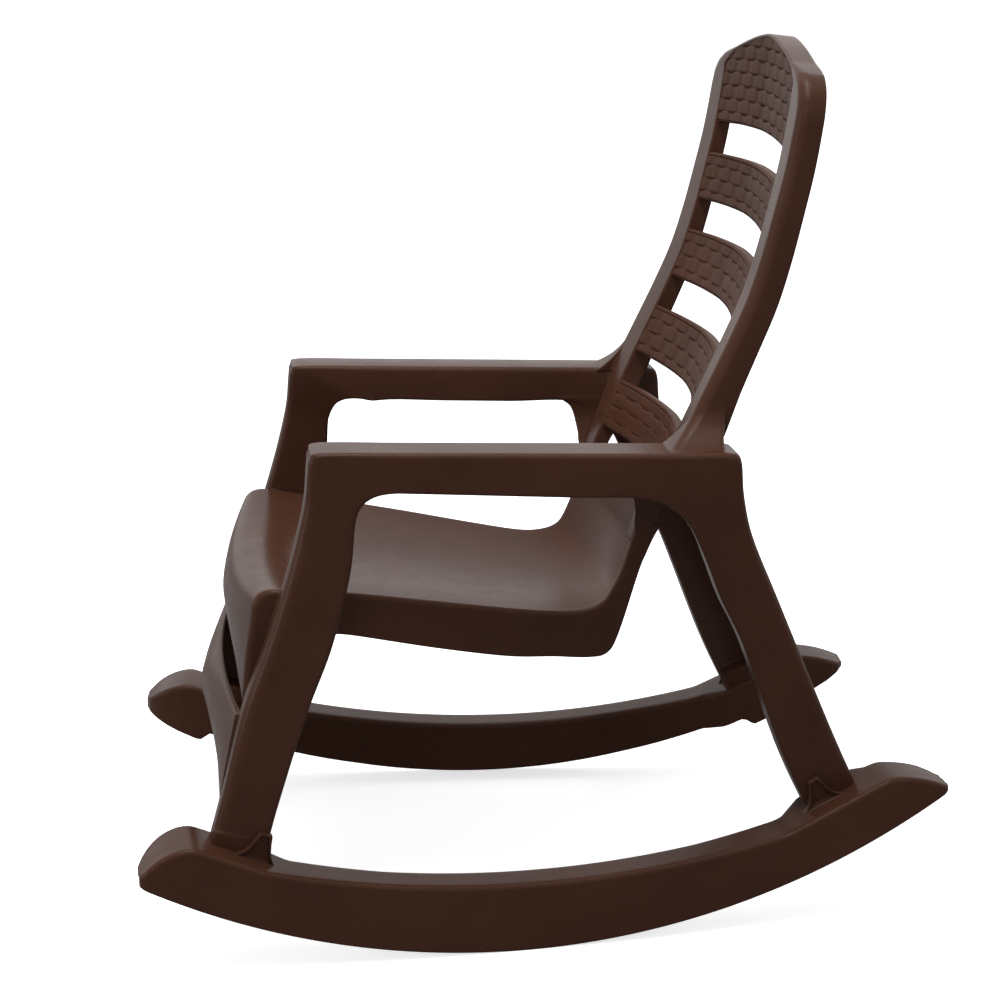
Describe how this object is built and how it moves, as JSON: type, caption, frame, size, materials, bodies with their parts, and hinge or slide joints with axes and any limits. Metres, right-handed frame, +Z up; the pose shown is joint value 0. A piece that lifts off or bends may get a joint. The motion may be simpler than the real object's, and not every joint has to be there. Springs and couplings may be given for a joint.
{
  "type": "rocking chair",
  "caption": "Moulded plastic rocking chair: dished seat, slatted high back and arms in one shell on two curved hollow runners.",
  "frame": {"origin": "on the floor, under the middle of the chair: midway between the runners' toes and tails and on the chair's middle plane", "axes": "+X to the sitter's left, +Y from front to back, +Z up; the chair faces -Y"},
  "size_m": [0.6698, 0.9596, 1.0302],
  "materials": {
    "shell_plastic": "satin, dark brown",
    "runner_plastic": "satin, dark brown",
    "screw_steel": "zinc plated"
  },
  "bodies": {
    "root": {"chair_shell": "shell_plastic", "runner_left": "runner_plastic", "runner_right": "runner_plastic", "foot_screw_front_left": "screw_steel", "foot_screw_front_right": "screw_steel", "foot_screw_rear_left": "screw_steel", "foot_screw_rear_right": "screw_steel"}
  },
  "joints": []
}
